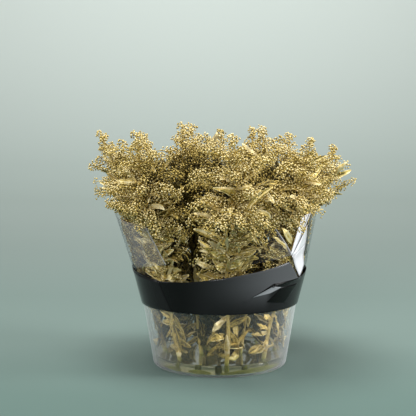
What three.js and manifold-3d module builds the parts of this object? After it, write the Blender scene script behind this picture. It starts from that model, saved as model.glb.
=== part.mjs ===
// A bunch of dried goldenrod, sprayed gold. Twelve cut sprigs stand in a little water in a clear
// tub, with a flared film sleeve round them and a black band round the sleeve.
// Millimetres, +Z up, origin on the floor under the middle of the tub. The front looks along -Y.
// An azimuth is 0 at the front and grows towards +X, the right.
import * as THREE from "three";
import { mergeVertices } from "three/addons/utils/BufferGeometryUtils.js";
import Module from "manifold-3d";

const wasm = await Module();
wasm.setup();

const degrees = Math.PI / 180;
const clearance = 0.3; // between pieces that touch on the real thing
const roundSegments = 36; // round the tub, the water, the sleeve and the band

// Tub
const tubBaseRadius = 107;
const tubSlope = 0.165; // outward for each millimetre of height
const tubHeight = 108;
const tubWall = 1.6;
const tubFloor = 2.4;
const tubCorner = 6;
const tubLip = 0.6;

// Water
const waterTop = 20;
const trenchInner = 95; // the fallen leaves lie in a trench along the front wall
const trenchOuter = 103.5;
const trenchTop = 17;
const trenchHalfAngle = 70 * degrees;

// Sleeve and band
const filmThickness = 0.6;
const filmBottom = 103;
const filmBottomRadius = 125.2;
const filmFlare = 36.5; // added to the radius over filmFlareHeight
const filmFlareHeight = 143;
const filmTopMiddle = 245;
const filmTopTilt = 18; // the rim is this much lower in front and higher behind
const foldEnd = 88 * degrees; // the sleeve is pulled flat from its crease to here
const creaseAzimuths = [[181, 50], [213, 56], [263, 62]]; // [height, degrees]
const bandBottom = 101.5;
const bandTops = [
  [-180, 160], [-90, 158], [-61, 155], [-42, 149], [-22, 151], [0, 158.5], [27, 169],
  [46, 178], [60, 149], [85, 156], [180, 160],
]; // [degrees, height] of the band's upper edge

// Sprigs. A sprig leans out from the middle, so its cell of the bunch widens with height.
const spread = 0.0031; // how fast everything moves out from the axis, for each millimetre of height
const ringRadii = [36, 84]; // of the stems at the floor
const sprigs = [
  // ring, azimuth in degrees, height, outward lean of the tip
  [1, -90, 374, 4], [1, -45, 374, 2], [1, 6, 372, 0], [1, 50, 366, 2], [1, 92, 352, 4],
  [1, 135, 370, 4], [1, 180, 376, 4], [1, -135, 372, 4], [0, -50, 386, 0], [0, 58, 382, 0],
  [0, 130, 380, 0], [0, -140, 386, 0],
];
const stemFootRadius = 3.2;
const stemTopRadius = 1.2;
const panicleLength = 192; // of the flowering top of a sprig
const plumeLength = 46; // the tip of the stem that is itself covered in florets
const raceme = { count: 11, longest: 104, shortest: 60, radius: 13, stalk: 1.4, sides: 4 };
const plumeRadius = 9;
const core = { below: 172, above: 46, radius: 18, relief: 0.6, sides: 4, steps: 6 }; // from the tip down
const innerShare = 0.8; // the inner sprigs have less room, so their side shoots are shorter
const outwardBias = 0.5; // side shoots turn towards the light, outwards
const outwardShare = 0.45; // of its length, for a side shoot at the top that points straight out
const leaf = { count: 5, lowest: 30, length: 62, width: 13, thickness: 1.3, sides: 3, steps: 4 };
const goldenAngle = 137.5 * degrees;

const between = (a, b, t) => a + (b - a) * t;
const smooth = (t) => {
  const s = Math.min(1, Math.max(0, t));
  return s * s * (3 - 2 * s);
};
const spreadAt = (height) => 1 + spread * height;
const pointAt = (radius, azimuth, height) =>
  new THREE.Vector3(radius * Math.sin(azimuth), -radius * Math.cos(azimuth), height);

// Linear interpolation in a list of [place, value] pairs.
function lookUp(pairs, place) {
  let k = 1;
  while (k < pairs.length - 1 && place > pairs[k][0]) k++;
  const [[x0, y0], [x1, y1]] = [pairs[k - 1], pairs[k]];
  return between(y0, y1, Math.min(1, Math.max(0, (place - x0) / (x1 - x0))));
}

// Repeatable draws from 0 to 1.
function seeded(seed) {
  let state = (seed * 2654435761) % 4294967296;
  const draw = () => {
    state = (state * 1664525 + 1013904223) % 4294967296;
    return state / 4294967296;
  };
  draw();
  draw();
  return draw;
}

// A geometry as a manifold-3d solid.
function solidOf(geometry) {
  const bare = geometry.clone();
  bare.deleteAttribute("normal");
  bare.deleteAttribute("uv");
  const merged = mergeVertices(bare, 1e-4);
  return new wasm.Manifold(
    new wasm.Mesh({
      numProp: 3,
      vertProperties: merged.attributes.position.array,
      triVerts: new Uint32Array(merged.index.array),
    }),
  );
}

// A solid as a geometry. Only its largest body is kept: a scrap is dropped, a sealed hollow filled.
function geometryOf(solid) {
  const body = solid.decompose().sort((a, b) => b.volume() - a.volume())[0];
  const mesh = body.getMesh();
  const geometry = new THREE.BufferGeometry();
  geometry.setAttribute("position", new THREE.BufferAttribute(mesh.vertProperties, 3));
  geometry.setIndex(new THREE.BufferAttribute(mesh.triVerts, 1));
  return geometry;
}

// A skin carried along a curve. section(t, k) gives corner k's offset at t, across and up, and
// each corner goes through keep, which may move it.
function carried(curve, across, sides, steps, section, keep = (corner) => corner) {
  const geometry = new THREE.CylinderGeometry(1, 1, 1, sides, steps);
  const centres = Array.from({ length: steps + 1 }, (_, n) => curve.getPointAt(n / steps));
  let side = across;
  const frames = centres.map((_, n) => {
    const tangent = curve.getTangentAt(n / steps);
    side = side.clone().addScaledVector(tangent, -tangent.dot(side)).normalize();
    return { side, up: tangent.clone().cross(side) };
  });
  const position = geometry.attributes.position;
  const corner = new THREE.Vector3();
  for (let v = 0; v < position.count; v++) {
    corner.fromBufferAttribute(position, v);
    const n = Math.round((0.5 + corner.y) * steps);
    const k = (Math.round((Math.atan2(corner.x, corner.z) / (2 * Math.PI)) * sides) + sides) % sides;
    const onRim = Math.hypot(corner.x, corner.z) > 0.5;
    const [out, up] = onRim ? section(n / steps, k) : [0, 0];
    corner.copy(centres[n]).addScaledVector(frames[n].side, out).addScaledVector(frames[n].up, up);
    const kept = keep(corner);
    position.setXYZ(v, kept.x, kept.y, kept.z);
  }
  return solidOf(geometry);
}

// A round section of the given radius at t.
const roundSection = (sides, radiusAt) => (t, k) => {
  const turn = (k / sides) * 2 * Math.PI;
  return [radiusAt(t, k) * Math.cos(turn), radiusAt(t, k) * Math.sin(turn)];
};

// Sleeve

const creaseAt = (height) => lookUp(creaseAzimuths, height) * degrees;
const filmTopAt = (azimuth) => filmTopMiddle - filmTopTilt * Math.cos(azimuth);

// Radius of the sleeve before it is folded: a cone that flares more to the left and waves a little.
function coneRadius(height, azimuth) {
  const rise = (height - filmBottom) / filmFlareHeight;
  const loose = Math.max(0, (height - 148) / 97);
  return filmBottomRadius + filmFlare * rise - 5 * loose * Math.sin(azimuth) +
    loose * (1.3 * Math.sin(3 * azimuth + 1) + 0.9 * Math.sin(5 * azimuth + 2.2));
}

// Inner radius of the film, which is pulled flat between its crease and foldEnd.
function filmRadius(height, azimuth) {
  const round = coneRadius(height, azimuth);
  const crease = creaseAt(height);
  if (azimuth <= crease || azimuth >= foldEnd) return round;
  const r0 = coneRadius(height, crease);
  const r1 = coneRadius(height, foldEnd);
  const chord = (r0 * r1 * Math.sin(foldEnd - crease)) /
    (r1 * Math.sin(foldEnd - azimuth) + r0 * Math.sin(azimuth - crease));
  return between(round, chord, Math.min(1, Math.max(0, (height - 148) / 33)));
}

// Columns of the film's mesh lean so that one of them runs along the crease.
function columnAzimuth(column, height) {
  const plain = (column / roundSegments) * 2 * Math.PI - Math.PI;
  const near = Math.max(0, 1 - Math.abs(plain - 50 * degrees) / (35 * degrees));
  return plain + (creaseAt(height) - 50 * degrees) * near;
}

// A thin wall: a closed skin through rows of points, up the outside and down the inside.
// radiusAt gives its inner radius, heightsAt a column's rows.
function thinWall(radiusAt, offset, heightsAt) {
  const rows = heightsAt(0).length;
  const geometry = new THREE.TorusGeometry(10, 1, 2 * rows, roundSegments);
  const position = geometry.attributes.position;
  const perColumn = roundSegments + 1;
  for (let v = 0; v < position.count; v++) {
    const column = v % perColumn;
    const row = Math.floor(v / perColumn) % (2 * rows);
    const outside = row < rows;
    const plain = (column / roundSegments) * 2 * Math.PI - Math.PI;
    const height = heightsAt(plain)[outside ? row : 2 * rows - 1 - row];
    const azimuth = columnAzimuth(column % roundSegments, height);
    const radius = radiusAt(height, azimuth) + offset + (outside ? filmThickness : 0);
    const place = pointAt(radius, azimuth, height);
    position.setXYZ(v, place.x, place.y, place.z);
  }
  return geometryOf(solidOf(geometry));
}

// Bunch

const sites = sprigs.map(([ring, azimuth]) =>
  new THREE.Vector2(Math.sin(azimuth * degrees), -Math.cos(azimuth * degrees))
    .multiplyScalar(ringRadii[ring]));

// How far from its own site, at floor scale, a sprig reaches in a direction: halfway to each other.
function cellReach(own, direction) {
  let reach = 60;
  sites.forEach((site, other) => {
    if (other === own) return;
    const gap = site.clone().sub(sites[own]);
    const facing = gap.dot(direction);
    if (facing > 0) reach = Math.min(reach, gap.lengthSq() / 2 / facing);
  });
  return reach;
}

// How far from the axis a body of the given radius may reach: to the wall below the rim, and
// freely above it.
function wallLimit(height, azimuth, radius) {
  const rim = filmTopAt(azimuth);
  const wall = height < tubHeight + 4
    ? tubBaseRadius + tubSlope * Math.min(height, tubHeight) - tubWall
    : filmRadius(Math.min(height, rim), azimuth);
  return wall - radius - 1.6 + 90 * smooth((height - rim - radius - 3) / 26);
}

// Bends a point of a sprig's skeleton back into its own cell and inside the wall, with room for
// a body of the given radius round it. What starts above the rim passes over it.
function bentClear(own, point, radius, rootHeight = 0) {
  const scale = spreadAt(point.z);
  const offset = new THREE.Vector2(point.x, point.y).divideScalar(scale).sub(sites[own]);
  const distance = offset.length();
  if (distance > 1e-6) {
    const direction = offset.clone().divideScalar(distance);
    const room = Math.max(1, cellReach(own, direction) - (1.1 * radius + 0.6) / scale);
    const share = distance / room;
    const kept = share < 0.6 ? share : 0.6 + 0.4 * Math.tanh((share - 0.6) / 0.4);
    offset.copy(direction).multiplyScalar(kept * room);
  }
  offset.add(sites[own]).multiplyScalar(scale);
  const azimuth = Math.atan2(offset.x, -offset.y);
  const rim = filmTopAt(azimuth);
  let height = point.z;
  if (rootHeight > rim) {
    const inside = filmRadius(rim, azimuth) - radius - 8 - offset.length();
    height = Math.max(height, rim + radius + 6 - 2.5 * Math.max(0, inside));
  }
  if (rootHeight <= rim || offset.length() < filmRadius(rim, azimuth) - radius - 8) {
    const limit = wallLimit(height, azimuth, radius);
    if (offset.length() > limit) offset.setLength(limit);
  }
  return new THREE.Vector3(offset.x, offset.y, height);
}

// The last word for a corner of a sprig: never outside its own cell, never through the wall.
function keptInside(own, corner) {
  const scale = spreadAt(corner.z);
  const offset = new THREE.Vector2(corner.x, corner.y).divideScalar(scale).sub(sites[own]);
  const distance = offset.length();
  if (distance > 1e-6) {
    const room = cellReach(own, offset.clone().divideScalar(distance)) - 0.4 / scale;
    if (distance > room) offset.setLength(room);
  }
  offset.add(sites[own]).multiplyScalar(scale);
  const azimuth = Math.atan2(offset.x, -offset.y);
  const limit = wallLimit(corner.z, azimuth, 0);
  if (corner.z < filmTopAt(azimuth) + 3 && offset.length() > limit) offset.setLength(limit);
  return new THREE.Vector3(offset.x, offset.y, Math.max(corner.z, tubFloor + clearance));
}

// The main stem, nearly straight, with a slow waver and a tip that leans out.
class Stem extends THREE.Curve {
  constructor(own) {
    super();
    const [, azimuth, height, lean] = sprigs[own];
    const draw = seeded(own + 1);
    Object.assign(this, { own, height, lean, azimuth: azimuth * degrees });
    this.waver = 1.5 + 2 * draw();
    this.phase = 2 * Math.PI * draw();
  }

  getPoint(t) {
    const height = between(tubFloor + clearance, this.height, t);
    const turn = this.phase + height / 42;
    const offset = new THREE.Vector2(Math.cos(turn), Math.sin(turn * 0.83))
      .multiplyScalar(this.waver * smooth(height / 90));
    const flat = sites[this.own].clone().add(offset).multiplyScalar(spreadAt(height));
    const lean = this.lean * smooth((height - 0.62 * this.height) / (0.38 * this.height));
    const place = new THREE.Vector3(flat.x, flat.y, height).add(pointAt(lean, this.azimuth, 0));
    return bentClear(this.own, place, stemFootRadius);
  }

  at(height) {
    return (height - tubFloor - clearance) / (this.height - tubFloor - clearance);
  }
}

// A side shoot or a leaf's midrib: an arc that leaves the stem at one rise and ends at another.
class Shoot extends THREE.Curve {
  constructor(stem, { root, azimuth, length, rise, endRise, radius }) {
    super();
    Object.assign(this, { stem, azimuth, length, rise, endRise, radius });
    this.root = stem.getPoint(stem.at(root));
    this.across = pointAt(1, azimuth + Math.PI / 2, 0);
  }

  getPoint(t) {
    const turn = this.endRise - this.rise;
    const now = this.rise + turn * t;
    const out = (this.length * (Math.sin(now) - Math.sin(this.rise))) / turn;
    const up = (this.length * (Math.cos(this.rise) - Math.cos(now))) / turn;
    const place = this.root.clone().add(pointAt(out, this.azimuth, up));
    const floor = waterTop + 4;
    if (place.z < floor) place.z = floor - 3 * Math.tanh((floor - place.z) / 30);
    return bentClear(this.stem.own, place, this.radius * smooth(t * 4), this.root.z);
  }
}

// The azimuth of the n-th side shoot round a stem: a golden-angle spiral, turned outwards.
function spiral(stem, n, start, jitter) {
  const turn = n * goldenAngle + start + jitter;
  return stem.azimuth + turn - outwardBias * Math.sin(turn);
}

// The flowering side shoots of a sprig, lowest first. Draws: start, then turn, length and rise
// for each.
function racemesOf(stem) {
  const draw = seeded(100 + stem.own);
  const start = 2 * Math.PI * draw();
  const room = sprigs[stem.own][0] === 1 ? 1 : innerShare;
  return Array.from({ length: raceme.count }, (_, n) => {
    const share = n / (raceme.count - 1);
    const azimuth = spiral(stem, n, start, 0.5 * (draw() - 0.5));
    const outwards = Math.max(0, Math.cos(azimuth - stem.azimuth));
    const full = room * between(raceme.longest, raceme.shortest, share ** 1.3) *
      between(1, outwardShare, share * outwards);
    return {
      azimuth,
      root: between(stem.height - panicleLength, stem.height - plumeLength + 4, share ** 0.9),
      length: full * between(0.85, 1.12, draw()),
      rise: between(36, 52, draw()) * degrees,
      endRise: between(-42, 0, share) * degrees,
      radius: raceme.radius * between(1, 0.75, share),
    };
  });
}

// The leaves below and between the flowers, dried and hanging. Draws: start, then root, length,
// width, rise and end rise for each.
function leavesOf(stem) {
  const draw = seeded(200 + stem.own);
  const start = 2 * Math.PI * draw();
  const highest = stem.height - panicleLength + 84;
  return Array.from({ length: leaf.count }, (_, n) => ({
    root: between(leaf.lowest, highest, n / (leaf.count - 1)) + 10 * (draw() - 0.5),
    azimuth: spiral(stem, n, start, 0),
    length: leaf.length * between(0.75, 1.2, draw()),
    width: leaf.width * between(0.8, 1.15, draw()),
    rise: between(30, 66, draw()) * degrees,
    endRise: between(-75, 50, draw()) * degrees,
    radius: leaf.width / 2,
  }));
}

// Florets cover a raceme as knobs: every other corner of a ring stands out, and the next ring's
// stand between them. Its root is a bare stalk.
function floretBody(own, curve, across, radius, length) {
  const steps = Math.round(between(5, 6.4, (length - 42) / 60));
  const knobs = (t, k) => {
    const n = Math.round(t * steps);
    if (n < 2) return raceme.stalk;
    if (n === steps) return stemTopRadius;
    const taper = radius * between(1.15, 0.6, t);
    return taper * ((n + k) % 2 ? 1 : 0.46);
  };
  const section = roundSection(raceme.sides, knobs);
  return carried(curve, across, raceme.sides, steps, section, (c) => keptInside(own, c));
}

// The packed florets round the stem, a core which the side shoots stand out of. Every other corner
// stands out of it too. It widens over the sleeve's rim.
function coreBody(stem) {
  const place = (t) => stem.getPoint(stem.at(stem.height - between(core.below, core.above, t)));
  const path = new THREE.CatmullRomCurve3([0, 0.25, 0.5, 0.75, 1].map(place));
  const knobs = (t, k) => {
    const n = Math.round(t * core.steps);
    return core.radius * Math.sin(Math.PI * between(0.1, 0.93, t)) ** 0.7 * ((n + k) % 2 ? 1 : core.relief);
  };
  const keep = (corner) => {
    const bent = bentClear(stem.own, corner, 2);
    const azimuth = Math.atan2(bent.x, -bent.y);
    const rim = filmTopAt(azimuth);
    const over = Math.max(0, bent.z - rim - 8);
    const limit = filmRadius(Math.min(bent.z, rim), azimuth) - 4 + 0.8 * over;
    const share = Math.min(1, limit / Math.hypot(bent.x, bent.y));
    return keptInside(stem.own, new THREE.Vector3(bent.x * share, bent.y * share, bent.z));
  };
  return carried(path, right, core.sides, core.steps, roundSection(core.sides, knobs), keep);
}

// A leaf blade: two waved edges and a keel along the midrib.
function blade(own, curve, width, thickness) {
  const section = (t, k) => {
    const half = (width / 2) * Math.sin(Math.PI * Math.min(1, t * 0.86 + 0.07)) ** 0.8;
    const wave = 0.15 * half * Math.cos(t * 4 * Math.PI);
    if (k === 0) return [0, -thickness * 0.75];
    return k === 1 ? [half, thickness * 0.25 + wave] : [-half, thickness * 0.25 - wave];
  };
  const keep = (corner) => keptInside(own, corner);
  return carried(curve, curve.across, leaf.sides, leaf.steps, section, keep);
}

const right = new THREE.Vector3(1, 0, 0);

// The stem is bare up to its plume, where knobs of florets cover it to the tip.
function stemBody(stem) {
  const plumeStart = stem.at(stem.height - plumeLength);
  const bareSteps = 5;
  const plumeSteps = 4;
  const steps = bareSteps + plumeSteps;
  const placed = new THREE.CatmullRomCurve3(Array.from({ length: steps + 1 }, (_, n) => {
    const above = (n - bareSteps) / plumeSteps;
    return stem.getPoint(n < bareSteps ? (plumeStart * n) / bareSteps : between(plumeStart, 1, above));
  }));
  placed.getPointAt = placed.getPoint;
  placed.getTangentAt = placed.getTangent;
  const radiusAt = (t, k) => {
    const n = Math.round(t * steps);
    if (n <= bareSteps) return between(stemFootRadius, stemTopRadius, n / bareSteps);
    if (n === steps) return stemTopRadius;
    return plumeRadius * between(1, 0.7, (n - bareSteps) / plumeSteps) * ((n + k) % 2 ? 1 : 0.4);
  };
  const keep = (corner) => keptInside(stem.own, corner);
  return carried(placed, right, raceme.sides, steps, roundSection(raceme.sides, radiusAt), keep);
}

function sprig(own) {
  const stem = new Stem(own);
  const parts = [stemBody(stem), coreBody(stem)];
  racemesOf(stem).forEach((shape) => {
    const shoot = new Shoot(stem, shape);
    parts.push(floretBody(own, shoot, shoot.across, shape.radius, shape.length));
  });
  leavesOf(stem).forEach((shape) => {
    parts.push(blade(own, new Shoot(stem, shape), shape.width, leaf.thickness));
  });
  return wasm.Manifold.union(parts);
}

// The water's hole for a stem.
function stemHole(own) {
  const stem = new Stem(own);
  const hole = new THREE.LineCurve3(
    stem.getPoint(stem.at(-4)), stem.getPoint(stem.at(waterTop + 6)),
  );
  return carried(hole, right, 6, 1, roundSection(6, () => stemFootRadius + 0.9));
}

// Tub and water, turned from their profiles

function turned(profile) {
  const points = profile.map(([radius, height]) => new THREE.Vector2(radius, height));
  return new THREE.LatheGeometry(points, roundSegments).rotateX(Math.PI / 2);
}

const tubOuterAt = (height) => tubBaseRadius + tubSlope * height;
const tubInnerAt = (height) => tubOuterAt(height) - tubWall;
const tubGeometry = turned([
  [0, 0], [tubOuterAt(0) - tubCorner, 0], [tubOuterAt(0) - 1.4, 1.8], [tubOuterAt(tubCorner), tubCorner],
  [tubOuterAt(tubHeight - 3), tubHeight - 3], [tubOuterAt(tubHeight) + tubLip, tubHeight - 1.5],
  [tubOuterAt(tubHeight) + tubLip, tubHeight], [tubInnerAt(tubHeight), tubHeight],
  [tubInnerAt(tubCorner + 2), tubCorner + 2], [tubInnerAt(0) - tubCorner + 1, tubFloor], [0, tubFloor],
]);

const waterBottom = tubFloor + clearance;
const trench = new THREE.Shape();
trench.absarc(0, 0, trenchOuter, -Math.PI / 2 - trenchHalfAngle, -Math.PI / 2 + trenchHalfAngle);
trench.absarc(0, 0, trenchInner, -Math.PI / 2 + trenchHalfAngle, -Math.PI / 2 - trenchHalfAngle, true);
const trenchGeometry = new THREE.ExtrudeGeometry(trench, {
  depth: trenchTop + 1, curveSegments: 14, bevelEnabled: false,
}).translate(0, 0, -1);

function waterSolid() {
  const body = solidOf(turned([
    [0, waterBottom], [tubInnerAt(0) - tubCorner, waterBottom],
    [tubInnerAt(tubCorner + 2) - clearance - 0.1, tubCorner + 2.4],
    [tubInnerAt(waterTop) - clearance, waterTop], [0, waterTop],
  ]));
  const holes = sprigs.map((_, own) => stemHole(own));
  return body.subtract(wasm.Manifold.union([solidOf(trenchGeometry), ...holes]));
}

// A leaf that fell into the water and lies along the front wall, on its edge on the floor.
function fallenLeaf({ from, to, width, lift }) {
  const lowest = tubFloor + clearance;
  const steps = 6;
  const section = (t, k) => {
    const half = (width / 2) * Math.sin(Math.PI * Math.min(1, t * 0.84 + 0.1)) ** 0.8;
    if (k === 0) return [0, -0.9];
    return k === 1 ? [half, 0.5] : [-half, 0.5];
  };
  // The blade stands on edge: across is up and down, and its keel points to the wall.
  const geometry = new THREE.CylinderGeometry(1, 1, 1, 3, steps);
  const position = geometry.attributes.position;
  for (let v = 0; v < position.count; v++) {
    const [x, y, z] = [position.getX(v), position.getY(v), position.getZ(v)];
    const n = Math.round((0.5 + y) * steps);
    const k = (Math.round((Math.atan2(x, z) / (2 * Math.PI)) * 3) + 3) % 3;
    const [across, out] = Math.hypot(x, z) > 0.5 ? section(n / steps, k) : [0, 0];
    const t = n / steps;
    const radius = 98.6 - 0.8 * Math.sin(t * Math.PI) + out;
    const height = lowest + width / 2 + lift * (t - 0.5) + across;
    const place = pointAt(radius, between(from, to, t) * degrees, Math.max(lowest, height));
    position.setXYZ(v, place.x, place.y, place.z);
  }
  return solidOf(geometry);
}

// Scene graph

const gold = new THREE.MeshStandardMaterial({ color: 0xb59a50, metalness: 0.8, roughness: 0.42 });
const clear = new THREE.MeshStandardMaterial({
  color: 0xe4eae8, roughness: 0.08, transparent: true, opacity: 0.28,
});
const film = new THREE.MeshStandardMaterial({
  color: 0xe9eeee, roughness: 0.12, transparent: true, opacity: 0.22, side: THREE.DoubleSide,
});
const blackFilm = new THREE.MeshStandardMaterial({ color: 0x101315, roughness: 0.22 });
const water = new THREE.MeshStandardMaterial({
  color: 0xb9bfa6, roughness: 0.03, transparent: true, opacity: 0.35,
});
const green = new THREE.MeshStandardMaterial({ color: 0x66702c, roughness: 0.6 });

const bunch = new THREE.Group();
bunch.name = "goldenrod_in_tub";

function add(name, geometry, material) {
  const mesh = new THREE.Mesh(geometry, material);
  mesh.name = name;
  bunch.add(mesh);
}

add("tub", geometryOf(solidOf(tubGeometry)), clear);
add("water", geometryOf(waterSolid()), water);
const filmRows = (azimuth) => [filmBottom, 148, 181, 213, filmTopAt(azimuth)];
const bandRows = (azimuth) => [bandBottom, 148, lookUp(bandTops, azimuth / degrees)];
add("film_sleeve", thinWall(filmRadius, 0, filmRows), film);
add("black_band", thinWall(coneRadius, filmThickness + 0.5, bandRows), blackFilm);
sprigs.forEach((_, own) => {
  add("goldenrod_" + String(own + 1).padStart(2, "0"), geometryOf(sprig(own)), gold);
});
add("fallen_leaf_green", geometryOf(fallenLeaf({ from: 0, to: 64, width: 9, lift: 3.5 })), green);
add("fallen_leaf_left", geometryOf(fallenLeaf({ from: -58, to: -36, width: 8, lift: 1.5 })), gold);
add("fallen_leaf_middle", geometryOf(fallenLeaf({ from: -29, to: -8, width: 8, lift: -1 })), gold);

export default bunch;
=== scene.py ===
# Dried goldenrod sprayed gold, standing in a clear tub of water, with a flared clear film
# sleeve and a black film band round it.
# Shapes are worked out in millimetres and put into meshes in metres, with Z up.
# An azimuth is 0 at the front, on -Y, and grows towards +X, the right.
import math
import bpy
import numpy as np
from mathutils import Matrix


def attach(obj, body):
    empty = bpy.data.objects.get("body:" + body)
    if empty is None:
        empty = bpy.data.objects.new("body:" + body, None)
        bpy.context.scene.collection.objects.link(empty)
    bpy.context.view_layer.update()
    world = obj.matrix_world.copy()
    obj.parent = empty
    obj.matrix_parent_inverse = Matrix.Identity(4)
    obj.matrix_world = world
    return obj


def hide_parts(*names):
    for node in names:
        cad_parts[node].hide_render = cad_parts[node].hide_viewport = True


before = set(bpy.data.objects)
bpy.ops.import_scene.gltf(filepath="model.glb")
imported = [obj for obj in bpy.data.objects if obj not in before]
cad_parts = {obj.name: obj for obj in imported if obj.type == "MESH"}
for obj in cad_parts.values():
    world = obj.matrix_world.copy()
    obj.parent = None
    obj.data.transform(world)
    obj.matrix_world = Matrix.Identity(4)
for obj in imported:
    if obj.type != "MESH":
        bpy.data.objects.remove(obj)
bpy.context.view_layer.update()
scene = bpy.context.scene
scene.view_settings.view_transform = "Standard"
goldenAngle = math.radians(137.5)
goldenLong, goldenShort = 0.618034, 0.381966  # steps of a turn that spread places evenly


# Small helpers

def smooth(t):  # 0 to 1 with flat ends
    s = np.clip(t, 0.0, 1.0)
    return s * s * (3.0 - 2.0 * s)


def between(a, b, t):  # linear from a to b
    return a + (b - a) * t


def ringPoint(radius, azimuth, height):  # cylindrical to Cartesian
    radius, azimuth, height = np.broadcast_arrays(radius, azimuth, height)
    return np.stack([radius * np.sin(azimuth), -radius * np.cos(azimuth), height], -1)


def unit(vectors):
    return vectors / np.maximum(np.linalg.norm(vectors, axis=-1, keepdims=True), 1e-9)


def circle(corners):  # points evenly round the unit circle, (corners, 2)
    turn = np.arange(corners) / corners * 2 * math.pi
    return np.stack([np.cos(turn), np.sin(turn)], -1)


def readOff(where, places, points):  # points (n, 3), known at places, read off in between
    return np.column_stack([np.interp(where, places, points[:, k]) for k in range(3)])


def ringQuads(low, high):  # faces between rows of point numbers, each row closed on itself
    quads = np.stack([low, np.roll(low, -1, -1), np.roll(high, -1, -1), high], -1)
    return quads.reshape(-1, 4)


def repeatableDraws(seed):  # the same draws as the solids were made with
    state = (seed * 2654435761) % 4294967296

    def draw():
        nonlocal state
        state = (state * 1664525 + 1013904223) % 4294967296
        return state / 4294967296

    draw()
    draw()
    return draw


def makeMesh(name, points, faceSets, tones=None):
    # points (n, 3) in mm; faceSets is a list of (faces, corners) index arrays
    mesh = bpy.data.meshes.new(name)
    mesh.vertices.add(len(points))
    mesh.vertices.foreach_set("co", (np.asarray(points, float) * 0.001).ravel())
    corners = np.concatenate([f.ravel() for f in faceSets]).astype(np.int32)
    sizes = np.concatenate([np.full(len(f), f.shape[1]) for f in faceSets]).astype(np.int32)
    starts = np.concatenate([[0], np.cumsum(sizes)[:-1]]).astype(np.int32)
    mesh.loops.add(len(corners))
    mesh.loops.foreach_set("vertex_index", corners)
    mesh.polygons.add(len(sizes))
    mesh.polygons.foreach_set("loop_start", starts)
    mesh.polygons.foreach_set("use_smooth", np.ones(len(sizes), bool))
    if tones is not None:
        attribute = mesh.attributes.new("tone", "FLOAT", "POINT")
        attribute.data.foreach_set("value", np.ravel(tones))
    mesh.update(calc_edges=True)
    mesh.validate()
    return mesh


def addPiece(name, mesh, material, slot, *nodes):
    piece = bpy.data.objects.new(name, mesh)
    scene.collection.objects.link(piece)
    mesh.materials.append(material)
    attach(piece, "root")
    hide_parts(*nodes)
    print("made", name, sum(len(p.vertices) - 2 for p in mesh.polygons), "triangles")


class Surfaces:
    # gathers points, tones and faces into one mesh
    def __init__(self):
        self.points, self.tones, self.faceSets, self.count = [], [], {}, 0

    def put(self, points, tones, *faceSets):  # faces number the points from self.count on
        for faces in faceSets:
            self.faceSets.setdefault(faces.shape[-1], []).append(faces)
        self.points.append(points.reshape(-1, 3))
        self.tones.append(tones.ravel())
        self.count += len(self.points[-1])

    def add(self, grids, tone):
        # grids (b, n, m, 3): b tubes of n rings of m corners, each ring closed on itself and
        # each tube at its ends; tone is a number, or an array (b, n, m) or (n, m)
        b, n, m, _ = grids.shape
        index = self.count + np.arange(b * n * m).reshape(b, n, m)
        self.put(grids, np.broadcast_to(tone, (b, n, m)), ringQuads(index[:, :-1], index[:, 1:]),
                 index[:, 0, ::-1], index[:, -1])

    def mesh(self, name):
        faceSets = [np.concatenate(f) for f in self.faceSets.values()]
        return makeMesh(name, np.concatenate(self.points), faceSets, np.concatenate(self.tones))


def tubes(path, side, outline):
    # A closed outline carried along each path: point = path + side * across + up * rise, where
    # up is square to the path and to side. path is (b, n, 3), side (b, 1 or n, 3) and the
    # outline (b, n, m, 2).
    along = unit(np.gradient(path, axis=1))
    side = unit(side - along * (along * side).sum(-1, keepdims=True))
    up = np.cross(along, side)
    return (path[:, :, None] + side[:, :, None] * outline[..., :1]
            + up[:, :, None] * outline[..., 1:])


def roundOutline(radius, corners):  # radius (b, n) to (b, n, corners, 2)
    return np.asarray(radius)[..., None, None] * circle(corners)


# Camera: a long lens a little above the flowers, looking slightly down

view = {"left": 0.0189, "distance": 1.56, "height": 0.390, "pitch": 5.1, "lens": 84.3}
camera = bpy.data.objects.new("camera", bpy.data.cameras.new("camera"))
camera.data.lens = view["lens"]
camera.data.clip_start = 0.05
camera.location = (-view["left"], -view["distance"], view["height"])
camera.rotation_euler = (math.radians(90 - view["pitch"]), 0, 0)
scene.collection.objects.link(camera)
scene.camera = camera
print("camera set")


# Materials

def newGroup(name, inputs, outputs):
    group = bpy.data.node_groups.new(name, "ShaderNodeTree")
    for label, kind, default in inputs:
        socket = group.interface.new_socket(label, in_out="INPUT", socket_type=kind)
        if default is not None:
            socket.default_value = default
    for label, kind in outputs:
        group.interface.new_socket(label, in_out="OUTPUT", socket_type=kind)
    return group, group.nodes.new("NodeGroupInput"), group.nodes.new("NodeGroupOutput")


def feed(tree, socket, value):  # value is a plain one, or the output of another node
    if isinstance(value, bpy.types.NodeSocket):
        tree.links.new(value, socket)
    else:
        socket.default_value = value


def feedAll(tree, node, values):
    for key, value in values.items():
        feed(tree, node.inputs[key], value)


def addNode(tree, kind, values=None, **settings):
    node = tree.nodes.new(kind)
    for key, value in settings.items():
        setattr(node, key, value)
    feedAll(tree, node, values or {})
    return node


def maths(tree, operation, *terms, clamped=False):
    # MULTIPLY_ADD is the first term times the second, plus the third
    node = addNode(tree, "ShaderNodeMath", dict(enumerate(terms)), operation=operation,
                   use_clamp=clamped)
    return node.outputs[0]


def mapped(tree, value, low=0.0, high=1.0, toLow=0.0, toHigh=1.0):
    # what lies from low to high, drawn out to toLow to toHigh and cut off there
    node = addNode(tree, "ShaderNodeMapRange", {"Value": value, "From Min": low, "From Max": high,
                                                "To Min": toLow, "To Max": toHigh})
    return node.outputs[0]


def noise(tree, place, scale, detail, distortion=0.0):
    node = addNode(tree, "ShaderNodeTexNoise", {"Vector": place, "Scale": scale,
                                                "Detail": detail, "Distortion": distortion})
    return node.outputs["Fac"]


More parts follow.
